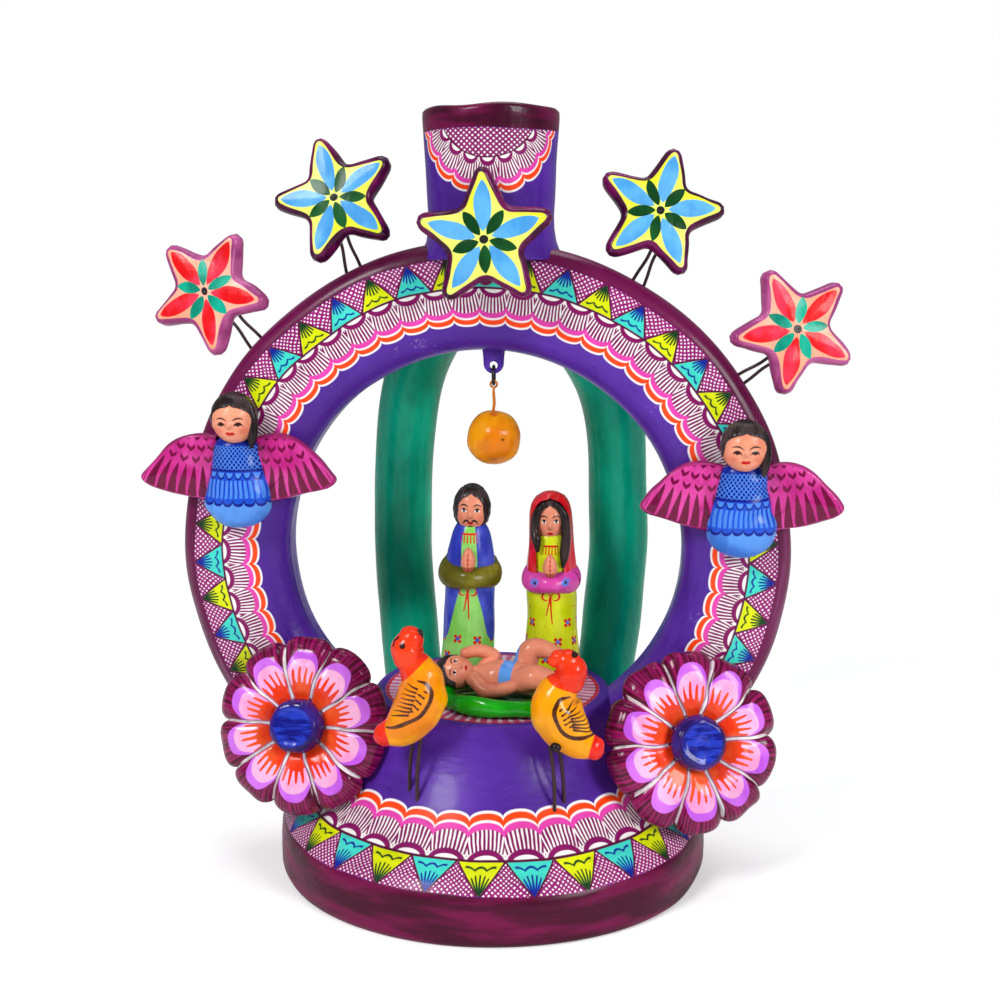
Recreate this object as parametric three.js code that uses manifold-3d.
// Painted clay nativity built on a candle holder, in millimetres, +Z up.
// The origin is the middle of the foot, the front looks along -Y and +X is to the right.
// A trumpet-shaped hollow base carries an upright ring with a candle cup on top and two
// leaning arches behind it. Inside the ring stand two praying figures with an infant on a pad,
// and a clay ball hangs on a wire from a pierced lug. Angels and rosettes sit on the face of
// the ring, stars stand round it on wires, and two birds stand on wire legs in front.
import * as THREE from "three";
import { mergeVertices } from "three/addons/utils/BufferGeometryUtils.js";
import Module from "manifold-3d";

const wasm = await Module();
wasm.setup();

// Gap left between two lumps of clay that are stuck together
const seam = 0.3;

// Base
const footRadius = 88;
const skirtHeight = 19;
const flankRadius = 83.5;
const flankHeight = 23;
const platformRadius = 49;
const platformHeight = 70;
const baseWall = 7;

// Front ring
const ringOuterRadius = 121.4;
const ringInnerRadius = 79;
const ringDepth = 30;
const ringCentreX = -3;
const ringCentreHeight = 130;
const ringOuterRounding = 7;
const ringInnerBevel = 14;

// Rear arches
const archTubeRadius = 12.8;
const archReach = 57;
const archSpread = 48;
const archFootHeight = 44;
const archShift = 3.5;

// Candle cup
const cupHeight = 50;
const cupRimRadius = 26.4;
const cupWaistRadius = 24.4;
const cupFlareRadius = 27.5;
const cupFlareDrop = 3.5;
const candleDiameter = 38;
const candleClearance = 0.5;
const candleDepth = 36;

// Hanging ball
const lugWidth = 8;
const lugDrop = 8.5;
const lugThickness = 3.6;
const lugHoleDiameter = 3.2;
const lugHoleHeight = 3.3;
const lugX = 0.5;
const wireDiameter = 1.2;
const loopRadius = 3.6;
const ballRadius = 10.9;
const ballDrop = 24.9;

// Stars
const starTipRadius = 26.6;
const starValleyRadius = 13.2;
const starThickness = 8.6;
const starBevel = 2.6;
const centreStarTipRadius = 27.8;
const centreStarRise = 1;
const centreStarShift = 2.9;
const starStandOff = 26.5;
const starLean = 14;
const starForward = 8;
const starWireDiameter = 1.3;
const starPegDiameter = 6;
const starPegLength = 20;

// Angels
const dressHeight = 31;
const dressHalfWidth = 14;
const angelHeadHalfWidth = 8.8;
const angelHeadHalfHeight = 9.8;
const wingSpan = 29;
const wingThickness = 5.4;
const wingBevel = 1.6;
const angelStandOff = 5.6;

// Flowers
const petalCount = 10;
const flowerRadius = 35;
const petalRise = 8.5;
const flowerThickness = 12;
const flowerButtonRadius = 10.7;
const flowerButtonRise = 5.5;
const flowerStandOff = 17;
const flowerLean = 17;
const flowerBossRadius = 9;

// Figures and pad
const fatherHeight = 83;
const motherHeight = 80;
const robeHalfWidth = 11.6;
const veilCrown = 8.4;
const veilHalfWidth = 8.5;
const figureDepthRatio = 0.84;
const figureBack = 10;
const padHalfLength = 27;
const padHalfWidth = 19.5;
const padThickness = 6.5;
const padRimRadius = 3.6;
const infantLength = 40;

// Birds
const birdHeight = 48;
const birdLegDiameter = 1.5;
const birdRise = 18.9;
const leftBirdReach = 59.5;
const rightBirdReach = 61.5;
const rightBirdCrouch = 4.5;

// Colours of the paint, with how shiny the varnish is on each
function paint(colour, roughness = 0.35) {
  return new THREE.MeshStandardMaterial({ color: colour, roughness, metalness: 0 });
}
const purple = paint(0x5028a0);
const maroon = paint(0x6e1046);
const green = paint(0x008264);
const blue = paint(0x2450c8);
const pink = paint(0xd84aa8);
const skin = paint(0xe89070);
const yellow = paint(0xdce632);
const peach = paint(0xf4b08c);
const orange = paint(0xf09a10);
const red = paint(0xe6321e);
const leafGreen = paint(0x8fd070);
const olive = paint(0x6a6414);
const padGreen = paint(0x089010);
const wireBlack = new THREE.MeshStandardMaterial({ color: 0x241c18, roughness: 0.5, metalness: 0.7 });
const wireOrange = paint(0xd87a20, 0.45);

// Joining and cutting

function solidOf(geometry) {
  const bare = geometry.clone();
  bare.deleteAttribute("normal");
  bare.deleteAttribute("uv");
  const merged = mergeVertices(bare, 1e-4);
  return new wasm.Manifold(
    new wasm.Mesh({
      numProp: 3,
      vertProperties: new Float32Array(merged.attributes.position.array),
      triVerts: new Uint32Array(merged.index.array),
    }),
  );
}

function geometryOf(solid) {
  const mesh = solid.getMesh();
  const geometry = new THREE.BufferGeometry();
  geometry.setAttribute("position", new THREE.BufferAttribute(mesh.vertProperties, 3));
  geometry.setIndex(new THREE.BufferAttribute(mesh.triVerts, 1));
  geometry.computeVertexNormals();
  return geometry;
}

// A piece keeps the function that makes its shape, so that a neighbour can be cut
// by the same shape grown by the seam
function piece(name, material, shape, position = [0, 0, 0]) {
  const mesh = new THREE.Mesh(shape(0), material);
  mesh.name = name;
  mesh.position.set(...position);
  mesh.userData.shape = shape;
  return mesh;
}

function grownSolid(mesh, amount = seam) {
  mesh.updateWorldMatrix(true, false);
  return solidOf(mesh.userData.shape(amount).applyMatrix4(mesh.matrixWorld));
}

// Cuts the neighbours, each grown by the seam, away from a piece where it stands
function carve(mesh, ...neighbours) {
  mesh.updateWorldMatrix(true, false);
  let solid = solidOf(mesh.geometry.clone().applyMatrix4(mesh.matrixWorld));
  for (const neighbour of neighbours) {
    const tool = neighbour.isMesh ? grownSolid(neighbour) : neighbour;
    solid = solid.subtract(tool);
  }
  mesh.geometry = geometryOf(solid).applyMatrix4(mesh.matrixWorld.clone().invert());
}

// Shapes

// Surface of revolution about Z from [radius, height] points that start and end on the axis
// or close on themselves
function turned(points, segments) {
  const profile = points.map(([radius, height]) => new THREE.Vector2(radius, height));
  return new THREE.LatheGeometry(profile, segments).rotateX(Math.PI / 2);
}

// Closed surface over rings of points, each end closed by one pole point
function skinned(rings, startPole, endPole) {
  const sides = rings[0].length;
  const points = [startPole, ...rings.flat(), endPole];
  const last = points.length - 1;
  const index = [];
  for (let side = 0; side < sides; side += 1) {
    const next = (side + 1) % sides;
    index.push(0, 1 + next, 1 + side);
    for (let ring = 0; ring + 1 < rings.length; ring += 1) {
      const here = 1 + ring * sides;
      const there = here + sides;
      index.push(here + side, here + next, there + next);
      index.push(here + side, there + next, there + side);
    }
    const top = 1 + (rings.length - 1) * sides;
    index.push(last, top + side, top + next);
  }
  const geometry = new THREE.BufferGeometry();
  const flat = points.flatMap((point) => [point.x, point.y, point.z]);
  geometry.setAttribute("position", new THREE.Float32BufferAttribute(flat, 3));
  geometry.setIndex(index);
  return geometry;
}

// Rounded limb along a smooth path of [x, y, z, radius] points, with domed ends
function limb(path, grow = 0, sides = 10, steps = 6) {
  const spine = new THREE.CatmullRomCurve3(path.map(([x, y, z]) => new THREE.Vector3(x, y, z)));
  const girth = new THREE.CatmullRomCurve3(path.map((point) => new THREE.Vector3(point[3], 0, 0)));
  const across = new THREE.Vector3(0.31, 0.9, 0.3).normalize();
  const ringAt = (centre, tangent, radius) => {
    const first = new THREE.Vector3().crossVectors(across, tangent).normalize();
    const second = new THREE.Vector3().crossVectors(tangent, first);
    return Array.from({ length: sides }, (_, side) => {
      const angle = (2 * Math.PI * side) / sides;
      return centre
        .clone()
        .addScaledVector(first, radius * Math.cos(angle))
        .addScaledVector(second, radius * Math.sin(angle));
    });
  };
  const rings = [];
  const domeRings = [0.35, 0.78];
  const startRadius = path[0][3] + grow;
  const endRadius = path[path.length - 1][3] + grow;
  const startTangent = spine.getTangent(0);
  const endTangent = spine.getTangent(1);
  const start = spine.getPoint(0);
  const end = spine.getPoint(1);
  for (const share of domeRings) {
    const offset = -startRadius * Math.cos((share * Math.PI) / 2);
    const radius = startRadius * Math.sin((share * Math.PI) / 2);
    rings.push(ringAt(start.clone().addScaledVector(startTangent, offset), startTangent, radius));
  }
  for (let step = 0; step <= steps; step += 1) {
    const t = step / steps;
    rings.push(ringAt(spine.getPoint(t), spine.getTangent(t), girth.getPoint(t).x + grow));
  }
  for (const share of [...domeRings].reverse()) {
    const offset = endRadius * Math.cos((share * Math.PI) / 2);
    const radius = endRadius * Math.sin((share * Math.PI) / 2);
    rings.push(ringAt(end.clone().addScaledVector(endTangent, offset), endTangent, radius));
  }
  const startPole = start.clone().addScaledVector(startTangent, -startRadius);
  const endPole = end.clone().addScaledVector(endTangent, endRadius);
  return skinned(rings, startPole, endPole);
}

// Ellipsoid about its own centre
function egg(halfX, halfY, halfZ, grow = 0, around = 12, down = 8) {
  const ball = new THREE.SphereGeometry(1, around, down).rotateX(Math.PI / 2);
  return ball.scale(halfX + grow, halfY + grow, halfZ + grow);
}

// Straight round wire between two points
function wire(from, to, diameter, grow = 0) {
  const start = new THREE.Vector3(...from);
  const end = new THREE.Vector3(...to);
  const along = end.clone().sub(start);
  const rod = new THREE.CylinderGeometry(diameter / 2 + grow, diameter / 2 + grow, along.length(), 6);
  const turn = new THREE.Quaternion().setFromUnitVectors(new THREE.Vector3(0, 1, 0), along.normalize());
  const middle = start.add(end).multiplyScalar(0.5);
  return rod.applyQuaternion(turn).translate(middle.x, middle.y, middle.z);
}

// Base

// The flank sweeps in from the skirt to the platform like a trumpet: a quadratic curve
// whose handle sits inside the straight line between its ends
const flankStart = new THREE.Vector2(flankRadius, flankHeight);
const flankHandle = new THREE.Vector2(platformRadius + 8, platformHeight * 0.6);
const flankEnd = new THREE.Vector2(platformRadius, platformHeight - 2);
const flankCurve = new THREE.QuadraticBezierCurve(flankStart, flankHandle, flankEnd);

function baseOutline(grow = 0) {
  const flank = flankCurve.getPoints(6).map((point) => [point.x + grow, point.y + grow]);
  return [
    [0, -grow],
    [footRadius - 1 + grow, -grow],
    [footRadius + grow, 2],
    [footRadius + grow, skirtHeight * 0.6],
    [footRadius - 1 + grow, skirtHeight],
    ...flank,
    [platformRadius - 2 + grow, platformHeight + grow],
    [0, platformHeight + grow],
  ];
}

function baseShell() {
  const core = solidOf(turned(baseOutline(), 40));
  const hollow = flankCurve.getPoints(4).map((point) => [point.x - baseWall, point.y - baseWall * 0.55]);
  const cavity = [
    [0, -1],
    [footRadius - baseWall - 1, -1],
    [footRadius - baseWall - 1, flankHeight - baseWall],
    ...hollow.slice(1),
    [0, platformHeight - 2 - baseWall * 0.55],
  ];
  return geometryOf(core.subtract(solidOf(turned(cavity, 20))));
}

// Height of the flank at a radius from the axis, found by halving the curve
function flankHeightAt(radius) {
  let low = 0;
  let high = 1;
  for (let turn = 0; turn < 30; turn += 1) {
    const middle = (low + high) / 2;
    if (flankCurve.getPoint(middle).x > radius) low = middle;
    else high = middle;
  }
  return flankCurve.getPoint(low).y;
}

const base = piece("base_shell", purple, baseShell);
base.userData.shape = (grow) => turned(baseOutline(grow), 40);

// Front ring

// Section of the ring as [radius, depth] points: round outer corners, long inner bevels
function ringSection(grow = 0) {
  const half = ringDepth / 2 + grow;
  const outer = ringOuterRadius + grow;
  const inner = ringInnerRadius - grow;
  const bevelDepth = ringDepth * 0.36;
  const corner = (radius, depth, reachR, reachD, from) =>
    [0, 1, 2].map((step) => {
      const angle = ((from + step * 45) * Math.PI) / 180;
      return [radius + reachR * Math.cos(angle), depth + reachD * Math.sin(angle)];
    });
  const rounding = ringOuterRounding;
  return [
    ...corner(outer - rounding, -half + rounding, rounding, rounding, -90),
    ...corner(outer - rounding, half - rounding, rounding, rounding, 0),
    ...corner(inner + ringInnerBevel, half - bevelDepth, ringInnerBevel, bevelDepth, 90),
    ...corner(inner + ringInnerBevel, -half + bevelDepth, ringInnerBevel, bevelDepth, 180),
  ];
}

function ringShape(grow) {
  const section = ringSection(grow);
  section.push(section[0]);
  const profile = section.map(([radius, depth]) => new THREE.Vector2(radius, depth));
  return new THREE.LatheGeometry(profile, 52);
}

const ringCentre = [ringCentreX, 0, ringCentreHeight];
const ring = piece("front_ring", purple, ringShape, ringCentre);
const ringFace = -ringDepth / 2;
const ringTop = ringCentreHeight + ringOuterRadius;
const ringInnerTop = ringCentreHeight + ringInnerRadius;

// A place on the ring's plane at an angle from +X and a radius from the ring's middle
function onRing(degrees, radius, y) {
  const angle = (degrees * Math.PI) / 180;
  return [ringCentreX + radius * Math.cos(angle), y, ringCentreHeight + radius * Math.sin(angle)];
}

// Rear arches

function archShape(side) {
  const footAngle = Math.PI * 0.26;
  const footReach = platformRadius + 10;
  const footX = footReach * Math.cos(footAngle);
  const footY = footReach * Math.sin(footAngle);
  const path = [
    [side * (footX - 2) + archShift, footY - 8, archFootHeight - 8],
    [side * (archSpread - 3.5) + archShift, archReach - 9, platformHeight + 6],
    [side * archSpread + archShift, archReach, ringCentreHeight - 3],
    [side * (archSpread - 6) + archShift, archReach - 11, ringInnerTop - 19],
    [side * (archSpread - 22) + archShift / 2, ringDepth / 2 + 15, ringTop - archTubeRadius * 2.5],
    [side * (archTubeRadius + 2), ringDepth / 2 - 2, ringTop - archTubeRadius * 1.5],
  ];
  return (grow) => limb(path.map(([x, y, z]) => [x, y, z, archTubeRadius]), grow, 10, 12);
}
const archLeft = piece("rear_arch_left", green, archShape(-1));
const archRight = piece("rear_arch_right", green, archShape(1));

// Candle cup

const cupFloor = ringTop + cupHeight - candleDepth;
const cupX = -0.5;

function cupShape(grow) {
  const bore = candleDiameter / 2 + candleClearance;
  const rim = ringTop + cupHeight;
  return turned(
    [
      [0, ringTop - cupFlareDrop * 2 - grow],
      [cupFlareRadius + grow, ringTop - cupFlareDrop * 2 - grow],
      [cupWaistRadius + 0.9 + grow, ringTop],
      [cupWaistRadius + grow, ringTop + 10],
      [cupRimRadius + grow, rim - 1],
      [cupRimRadius - 1 + grow, rim],
      [bore + 0.8, rim],
      [bore, rim - 1],
      [bore, cupFloor],
      [0, cupFloor],
    ],
    26,
  );
}
const cup = piece("candle_cup", maroon, cupShape, [cupX, 0, 0]);

// Hanging ball on its wire

function lugShape() {
  const half = lugWidth / 2;
  const top = 0;
  const bottom = -lugDrop;
  const outline = new THREE.Shape();
  outline.moveTo(-half, top);
  outline.lineTo(-half, bottom + half);
  outline.absarc(0, bottom + half, half, Math.PI, 2 * Math.PI, false);
  outline.lineTo(half, top);
  outline.closePath();
  const hole = new THREE.Path();
  hole.absarc(0, bottom + lugHoleHeight, lugHoleDiameter / 2, 0, 2 * Math.PI, true);
  outline.holes.push(hole);
  const slab = new THREE.ExtrudeGeometry(outline, {
    depth: lugThickness,
    bevelEnabled: false,
    curveSegments: 12,
  });
  return slab.rotateX(Math.PI / 2).translate(0, lugThickness / 2, 0);
}
const lugTop = ringInnerTop - 0.7;
const holeHeight = lugTop - lugDrop + lugHoleHeight;
const loopMiddle = holeHeight - loopRadius - lugHoleDiameter / 2 + wireDiameter / 2 + 0.65;
const ballMiddle = loopMiddle - ballDrop;
const lug = piece("hanging_lug", purple, lugShape, [lugX, 0, lugTop]);

const loopShape = () =>
  new THREE.TorusGeometry(loopRadius, wireDiameter / 2, 6, 20).rotateY(Math.PI / 2);
const pendantLoop = piece("pendant_loop", wireBlack, loopShape, [lugX, 0, loopMiddle]);

const stemTop = -loopRadius - wireDiameter / 2 - seam;
const stemBottom = -ballDrop + ballRadius - 4;
const stemShape = (grow) => wire([0, 0, stemTop], [0, 0, stemBottom - grow], wireDiameter, grow);
const pendantStem = piece("pendant_stem", wireOrange, stemShape, [lugX, 0, loopMiddle]);
const ballShape = (grow) => egg(ballRadius, ballRadius, ballRadius, grow, 16, 10);
const pendantBall = piece("pendant_ball", orange, ballShape, [lugX, 0, ballMiddle]);

// Stars

// Five-pointed star with round tips and valleys and a pillowed edge, standing in the XZ plane
function starShape(tipRadius, turn) {
  return (grow) => {
    const valley = (starValleyRadius * tipRadius) / starTipRadius;
    const corners = Array.from({ length: 10 }, (_, corner) => {
      const radius = (corner % 2 ? valley : tipRadius) - starBevel;
      const angle = ((turn + corner * 36) * Math.PI) / 180;
      return new THREE.Vector2(radius * Math.cos(angle), radius * Math.sin(angle));
    });
    const outline = new THREE.Shape();
    corners.forEach((corner, place) => {
      const before = corners[(place + 9) % 10];
      const after = corners[(place + 1) % 10];
      const share = place % 2 ? 0.25 : 0.2;
      const enter = corner.clone().lerp(before, share);
      const leave = corner.clone().lerp(after, share);
      if (place === 0) outline.moveTo(enter.x, enter.y);
      else outline.lineTo(enter.x, enter.y);
      outline.quadraticCurveTo(corner.x, corner.y, leave.x, leave.y);
    });
    outline.closePath();
    const slab = new THREE.ExtrudeGeometry(outline, {
      depth: starThickness - 2 * starBevel,
      bevelEnabled: true,
      bevelThickness: starBevel + grow,
      bevelSize: starBevel + grow,
      bevelSegments: 1,
      curveSegments: 2,
    });
    return slab.translate(0, 0, -starThickness / 2 + starBevel).rotateX(Math.PI / 2);
  };
}

// Each star: where it stands round the ring, how it is turned, and how far its two wires lie
// to the side of the star's own radius, first at the star and then at the ring
const starPlaces = [
  { name: "star_outer_left", angle: 136.6, turn: 63, wires: [[2.2, 7.1], [-2.2, 0.5]] },
  { name: "star_inner_left", angle: 112.3, turn: 37, wires: [[4.8, 9.3], [1.3, 2.5]] },
  { name: "star_inner_right", angle: 63.2, turn: 3, wires: [[-3.7, -3.2], [-6.5, -8.4]] },
  { name: "star_outer_right", angle: 36.5, turn: 44, wires: [[-2.7, -2], [-6, -6.4]] },
];

// A star faces the front and leans outward from the middle of the ring
function makeStar(place) {
  const centre = onRing(place.angle, ringOuterRadius + starStandOff, -starForward);
  const material = place.name.includes("outer") ? peach : yellow;
  const star = piece(place.name, material, starShape(starTipRadius, place.turn), centre);
  const angle = (place.angle * Math.PI) / 180;
  const hinge = new THREE.Vector3(-Math.sin(angle), 0, Math.cos(angle));
  star.quaternion.setFromAxisAngle(hinge, (starLean * Math.PI) / 180);
  const inward = [-Math.cos(angle), -Math.sin(angle)];
  const aside = [-Math.sin(angle), Math.cos(angle)];
  const spot = (reach, shift, y) => [
    reach * inward[0] + shift * aside[0],
    y,
    reach * inward[1] + shift * aside[1],
  ];
  const wires = place.wires.map(([atStar, atRing], number) => {
    const shape = (grow) =>
      wire(
        spot(starValleyRadius - 4, atStar, 0),
        spot(starStandOff + 3, atRing, starForward * 0.6),
        starWireDiameter,
        grow,
      );
    return piece(`${place.name}_wire_${number + 1}`, wireBlack, shape, centre);
  });
  for (const thread of wires) carve(thread, star, ring);
  return [star, ...wires];
}
const stars = starPlaces.map(makeStar);

const centreStarY = -(cupFlareRadius + seam + starThickness / 2 + 0.4);
const centreStar = piece(
  "star_centre",
  yellow,
  starShape(centreStarTipRadius, 20.5),
  [ringCentreX + centreStarShift, centreStarY, ringTop + centreStarRise],
);
const pegShape = (grow) => wire([0, 0, 0], [0, starPegLength, 0], starPegDiameter, grow);
const centrePeg = piece(
  "star_centre_peg",
  maroon,
  pegShape,
  [ringCentreX + centreStarShift, centreStarY, ringTop - ringOuterRounding - starPegDiameter],
);

// Angels

function wingShape(side) {
  return (grow) => {
    const root = dressHalfWidth - 3;
    const start = root - 4;
    const reach = root + wingSpan;
    const at = (share, high) => [root + wingSpan * share, dressHeight * high];
    const outline = new THREE.Shape();
    outline.moveTo(start, -dressHeight * 0.34);
    outline.lineTo(start, dressHeight * 0.52);
    outline.quadraticCurveTo(...at(0.3, 0.66), ...at(0.62, 0.38));
    outline.quadraticCurveTo(...at(0.8, 0.22), reach - 2, dressHeight * 0.06);
    outline.quadraticCurveTo(reach + 1, -dressHeight * 0.04, reach - 5, -dressHeight * 0.13);
    outline.quadraticCurveTo(...at(0.45, -0.24), start, -dressHeight * 0.34);
    const slab = new THREE.ExtrudeGeometry(outline, {
      depth: wingThickness - 2 * wingBevel,
      bevelEnabled: true,
      bevelThickness: wingBevel + grow,
      bevelSize: wingBevel + grow,
      bevelOffset: -wingBevel,
      bevelSegments: 1,
      curveSegments: 4,
    });
    const facing = slab.translate(0, 0, -wingThickness / 2 + wingBevel).rotateX(Math.PI / 2);
    return side > 0 ? facing : facing.rotateZ(Math.PI);
  };
}

function dressShape(grow) {
  const half = dressHalfWidth;
  const path = [
    [0, 0, dressHeight / 2 - 8.5, half * 0.66],
    [0, 0, 0, half * 0.82],
    [0, 0, -dressHeight / 2 + 9.5, half * 0.96],
  ];
  return limb(path, grow, 12, 5).scale(1, 0.62, 1);
}

function makeAngel(side, degrees, inset) {
  const bodyRadius = (ringInnerRadius + ringOuterRadius) / 2 - inset;
  const angel = new THREE.Group();
  angel.position.set(...onRing(degrees, bodyRadius, ringFace - angelStandOff));
  const name = side < 0 ? "angel_left" : "angel_right";
  const headMiddle = dressHeight / 2 + angelHeadHalfHeight - 1.2;
  const headShape = (grow) => egg(angelHeadHalfWidth, angelHeadHalfWidth * 0.92, angelHeadHalfHeight, grow);
  const dress = piece(`${name}_dress`, blue, dressShape);
  const head = piece(`${name}_head`, skin, headShape, [0, -2.6, headMiddle]);
  const wingY = angelStandOff - wingThickness / 2 - 1.2;
  const wings = [-1, 1].map((hand) => {
    const word = hand < 0 ? "left" : "right";
    return piece(`${name}_wing_${word}`, pink, wingShape(hand), [0, wingY, 0]);
  });
  angel.add(dress, head, ...wings);
  carve(dress, head, ring);
  for (const wing of wings) carve(wing, dress, head);
  return angel;
}

// Flowers

// Rosette of thick petals facing +Z in its own frame, with grooves between the petals
function petalsShape(grow) {
  const stops = [0, 0.13, 0.5, 0.87];
  const angles = Array.from({ length: petalCount }, (_, petal) =>
    stops.map((stop) => ({ stop, angle: ((petal + stop) * 2 * Math.PI) / petalCount })),
  ).flat();
  const back = petalRise - flowerThickness - grow;
  const rings = [
    { share: 0.55, height: back },
    { share: 0.9, height: back },
    { share: 1, height: back + flowerThickness * 0.3 },
    { share: 0.97, height: petalRise * 0.45 },
    { share: 0.8, height: petalRise * 0.92 },
    { share: 0.55, height: petalRise },
    { share: 0.3, height: petalRise * 0.7 },
  ];
  const points = rings.map(({ share, height }) =>
    angles.map(({ stop, angle }) => {
      const swell = Math.sin(Math.PI * stop) ** 0.5;
      const front = height > back;
      const radius = flowerRadius * share * (share > 0.7 ? 0.9 + 0.1 * swell : 1) + grow;
      const sink = front && share < 0.99 && share > 0.4 ? petalRise * 0.3 * (1 - swell) : 0;
      const z = height - sink + (front ? grow : 0);
      return new THREE.Vector3(radius * Math.cos(angle), radius * Math.sin(angle), z);
    }),
  );
  const startPole = new THREE.Vector3(0, 0, back);
  const endPole = new THREE.Vector3(0, 0, petalRise * 0.7 + grow);
  return skinned(points, startPole, endPole);
}

function buttonShape(grow) {
  const floor = petalRise * 0.7 + seam;
  const arc = [0, 1, 2, 3].map((step) => {
    const angle = (step * Math.PI) / 6;
    const rise = petalRise * 0.3 + flowerButtonRise;
    return [(flowerButtonRadius + grow) * Math.cos(angle), floor + 1 + rise * Math.sin(angle)];
  });
  arc[3][0] = 0;
  return turned([[0, floor], [flowerButtonRadius - 0.6, floor], ...arc], 16);
}

function makeFlower(side, degrees, radiusShift, swing) {
  const name = side < 0 ? "flower_left" : "flower_right";
  const middle = (ringInnerRadius + ringOuterRadius) / 2 + radiusShift;
  const place = onRing(degrees, middle, ringFace - flowerStandOff);
  const flower = new THREE.Group();
  flower.position.set(...place);
  flower.rotation.order = "ZXY";
  flower.rotation.z = (side * swing * Math.PI) / 180;
  flower.rotation.x = Math.PI / 2 - (flowerLean * Math.PI) / 180;
  const petals = piece(`${name}_petals`, maroon, petalsShape);
  const button = piece(`${name}_button`, blue, buttonShape);
  flower.add(petals, button);
  petals.updateWorldMatrix(true, false);
  const boss = new THREE.CylinderGeometry(flowerBossRadius, flowerBossRadius, flowerStandOff, 16);
  boss.translate(place[0], place[1] + flowerStandOff / 2, place[2]);
  const backward = petals.matrixWorld.clone().invert();
  const joined = solidOf(petals.geometry).add(solidOf(boss.applyMatrix4(backward)));
  petals.geometry = geometryOf(joined);
  carve(button, petals);
  carve(petals, button, ring, base);
  return flower;
}

// Standing figures

function robeShape(height, shoulder) {
  const half = robeHalfWidth;
  const path = [
    [0, 0, half * 0.92, half * 0.94],
    [0, 0, height * 0.29, half * 0.9],
    [0, 0, height * 0.48, half * 0.9],
    [0, 0, height * 0.63, half * 0.21 + shoulder],
    [0, 0, height * 0.72, shoulder],
  ];
  return (grow) => limb(path, grow, 12, 7).scale(1, figureDepthRatio, 1);
}

function armsShape(height, elbow) {
  const front = -robeHalfWidth * figureDepthRatio;
  const low = height * 0.535;
  const high = height * 0.6;
  const path = [
    [-elbow, 2.5, high, 3],
    [-elbow + 0.4, -3.5, low, 4.2],
    [0, front - 0.6, height * 0.55, 3.6],
    [elbow - 0.4, -3.5, low, 4.2],
    [elbow, 2.5, high, 3],
  ];
  return (grow) => limb(path, grow, 8, 10);
}

// A figure's own data: height, where it stands across the platform, its lean in degrees,
// half width of the head, middle of the head, and how far out the shoulders and elbows are
function makeFigure(name, robeMaterial, sleeveMaterial, data) {
  const { height, x, lean, headHalf, headMiddle, shoulder, elbow } = data;
  const figure = new THREE.Group();
  figure.position.set(x, figureBack, platformHeight + seam);
  figure.rotation.y = (lean * Math.PI) / 180;
  const headShape = (grow) => egg(headHalf, headHalf * 0.96, height * 0.12, grow);
  const handsShape = (grow) => egg(3, 2.5, height * 0.063, grow, 8, 6);
  const handsY = -robeHalfWidth * figureDepthRatio - 1.6;
  const robe = piece(`${name}_robe`, robeMaterial, robeShape(height, shoulder));
  const head = piece(`${name}_head`, skin, headShape, [0, 0, headMiddle]);
  const arms = piece(`${name}_sleeves`, sleeveMaterial, armsShape(height, elbow));
  const hands = piece(`${name}_hands`, skin, handsShape, [0, handsY, height * 0.645]);
  figure.add(robe, head, arms, hands);
  const floorBlock = new THREE.BoxGeometry(platformRadius * 2, platformRadius * 2, height);
  floorBlock.translate(x, figureBack, platformHeight + seam - height / 2);
  carve(robe, head, solidOf(floorBlock));
  carve(arms, robe);
  carve(hands, robe, arms);
  return figure;
}

// Veil laid over the head and shoulders, open at the face and chest
function addVeil(figure, name, height) {
  const [robe, head, arms, hands] = figure.children;
  const drapePath = [
    [0, 0.8, height * 0.64, veilHalfWidth * 1.2],
    [0, 0.7, height * 0.69, veilHalfWidth * 1.1],
    [0, 0.6, height * 0.77, veilHalfWidth],
    [0, 0.4, height - veilCrown, veilHalfWidth],
  ];
  const openingPath = [
    [0, -veilHalfWidth * 1.1, height * 0.46, veilHalfWidth * 0.73],
    [0, -veilHalfWidth * 1.18, height * 0.65, veilHalfWidth * 0.66],
    [0, -veilHalfWidth, height * 0.83, veilHalfWidth * 0.7],
  ];
  const veil = piece(`${name}_veil`, red, (grow) => limb(drapePath, grow, 12, 5));
  figure.add(veil);
  veil.updateWorldMatrix(true, false);
  const opening = limb(openingPath, 0, 10, 3);
  carve(veil, solidOf(opening.applyMatrix4(veil.matrixWorld)), robe, head, arms, hands);
}

// Infant on its pad

// Oval dish with a fat rolled rim, turned round and then narrowed
function padShape(grow) {
  const rim = Array.from({ length: 6 }, (_, step) => {
    const angle = ((-90 + step * 44) * Math.PI) / 180;
    const reach = padRimRadius + grow;
    return [padHalfLength - padRimRadius + reach * Math.cos(angle), padRimRadius + reach * Math.sin(angle)];
  });
  const floor = padThickness * 0.48 + grow;
  const points = [[0, -grow], ...rim, [padHalfLength - padRimRadius * 2.2, floor], [0, floor]];
  return turned(points, 22).scale(1, padHalfWidth / padHalfLength, 1);
}

// Limbs of the infant as [x, y, z, radius] points, from the head's end to the feet, written
// for an infant 40 mm long
const infantPaths = {
  infant_torso: [[-5, 0, 7.2, 4.4], [2, 0, 7.3, 6.4], [9, 0, 7.2, 6.2], [14, 0, 7.4, 6.4]],
  infant_arm_left: [[-6, -5, 8, 2.9], [-1, -8, 4.2, 3], [6, -7.5, 4.8, 2.7], [10, -7, 6, 2.4]],
  infant_arm_right: [[-3, 4.5, 9, 3], [1, 7, 13.5, 2.9], [-5, 6, 16, 2.6], [-10, 4.5, 15.5, 2.4]],
  infant_leg_left: [[13, -4, 7.4, 5], [19, -6, 9.2, 5.2], [24, -6, 8, 4], [27, -5.5, 4.8, 2.8]],
  infant_leg_right: [[13, 4, 9, 4.8], [16.5, 6, 17, 4.6], [22, 6, 17.2, 3.6], [29, 6, 14, 2.6]],
};

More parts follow.
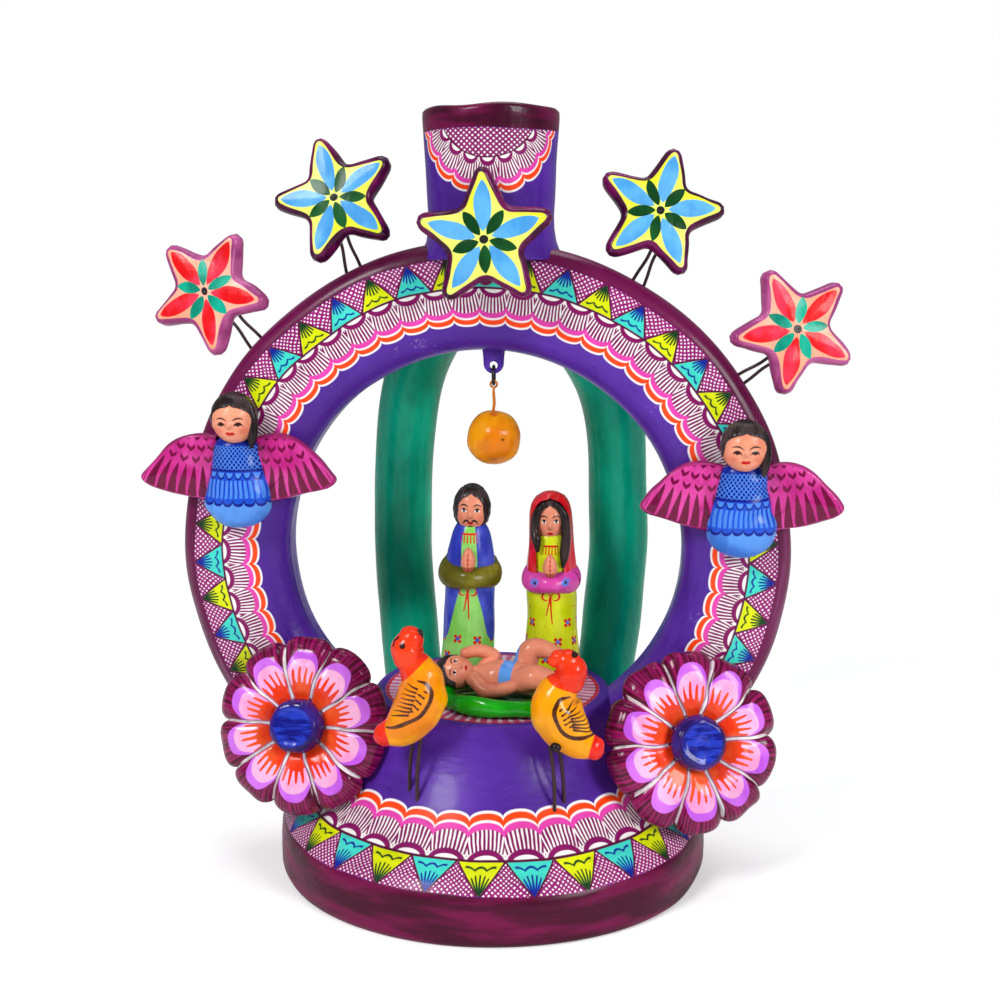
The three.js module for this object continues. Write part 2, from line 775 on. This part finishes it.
function makeInfant(pad) {
  const k = infantLength / 40;
  const infant = new THREE.Group();
  const low = pad.position.z + padThickness * 0.5;
  infant.position.set(pad.position.x - 6, pad.position.y + 2, low);
  const [torso, armFront, armBack, legFront, legBack] = Object.entries(infantPaths).map(
    ([name, path]) => {
      const scaled = path.map((point) => point.map((value) => value * k));
      return piece(name, skin, (grow) => limb(scaled, grow, 9, 6));
    },
  );
  const headShape = (grow) => egg(8 * k, 6.6 * k, 6.6 * k, grow, 12, 8);
  const head = piece("infant_head", skin, headShape, [-14 * k, -0.5, 9.2 * k]);
  infant.add(torso, head, armFront, armBack, legFront, legBack);
  carve(torso, head, pad);
  carve(head, pad);
  carve(armFront, torso, head, pad);
  carve(armBack, torso, head);
  carve(legFront, torso, armFront, pad);
  carve(legBack, torso, legFront, armBack);
  return infant;
}

// Birds

// A bird stands on the flank at an angle and reach from the axis, crouches by some
// millimetres, and its body leads its feet. The paths are written for a bird 48 mm high.
function makeBird(name, side, footAngle, footReach, crouch, lead) {
  const bird = new THREE.Group();
  const angle = (footAngle * Math.PI) / 180;
  const foot = [footReach * Math.sin(angle), -footReach * Math.cos(angle), flankHeightAt(footReach)];
  bird.position.set(foot[0] - side * lead, foot[1] - 1.5, foot[2] + birdRise);
  const k = birdHeight / 48;
  const low = crouch / k;
  const at = (path) => path.map(([x, y, z, r]) => [side * x * k, y * k, z * k, r * k]);
  const bodyPath = at([
    [7.4, 0, 35 - low, 4.2],
    [2.5, 0, 26 - low * 0.6, 8.2],
    [2.5, 0, 19 - low * 0.2, 9.6],
    [5.5, 0, 11.5, 9],
    [11, 0, 6, 7],
    [16.5, 0, 3.5, 4.6],
  ]);
  const headPath = at([
    [7.3, 0, 34 - low, 5.6],
    [7.6, 0, 38 - low, 6],
    [6.4, 0, 41 - low, 4.9],
  ]);
  const body = piece(`${name}_body`, orange, (grow) => limb(bodyPath, grow, 10, 9));
  const head = piece(`${name}_head`, red, (grow) => limb(headPath, grow, 10, 4));
  bird.add(body, head);
  carve(body, head);
  const legs = [0, 1].map((number) => {
    const hip = [side * (lead - 2.5 + number * 3), number * 1.5 - 0.5, 8];
    const toe = [side * (lead + number * 3.5), number * 4 - 0.5, -birdRise - 4];
    const shape = (grow) => wire(hip, toe, birdLegDiameter, grow);
    return piece(`${name}_leg_${number + 1}`, wireBlack, shape);
  });
  bird.add(...legs);
  for (const leg of legs) carve(leg, body, base);
  return bird;
}

// Assembly

const nativity = new THREE.Group();
nativity.name = "nativity_candle_holder";
nativity.add(base, ring, archLeft, archRight, cup, lug);
nativity.add(pendantLoop, pendantStem, pendantBall);
nativity.add(...stars.flat(), centreStar, centrePeg);

const floorBlock = new THREE.BoxGeometry(ringOuterRadius * 4, footRadius * 4, ringOuterRadius);
const underFloor = solidOf(floorBlock.translate(0, 0, -ringOuterRadius / 2));
carve(archLeft, base, ring, cup);
carve(archRight, base, ring, cup);
carve(cup, ring);
carve(ring, base, underFloor);
carve(pendantBall, pendantStem);
carve(centrePeg, centreStar, ring, cup);

nativity.add(makeAngel(-1, 162.6, 0), makeAngel(1, 12, -2.5));
nativity.add(makeFlower(-1, 224.1, -3.8, 8), makeFlower(1, -40.1, 7.6, 17));

const father = makeFigure("father_figure", leafGreen, olive, {
  height: fatherHeight,
  x: -11.3,
  lean: 1.6,
  headHalf: 7.5,
  headMiddle: fatherHeight - 10,
  shoulder: robeHalfWidth * 0.62,
  elbow: robeHalfWidth * 0.78,
});
const mother = makeFigure("mother_figure", yellow, pink, {
  height: motherHeight,
  x: 24.4,
  lean: -1,
  headHalf: 6.9,
  headMiddle: motherHeight - 11.2,
  shoulder: robeHalfWidth * 0.55,
  elbow: robeHalfWidth * 0.7,
});
nativity.add(father, mother);
addVeil(mother, "mother_figure", motherHeight);

const pad = piece(
  "sleeping_pad", padGreen, padShape, [6.5, -padHalfWidth - 2.5, platformHeight + seam],
);
nativity.add(pad, makeInfant(pad));

nativity.add(makeBird("bird_left", -1, -24, leftBirdReach, 0, 4.4));
nativity.add(makeBird("bird_right", 1, 27, rightBirdReach, rightBirdCrouch, 2.2));

export default nativity;
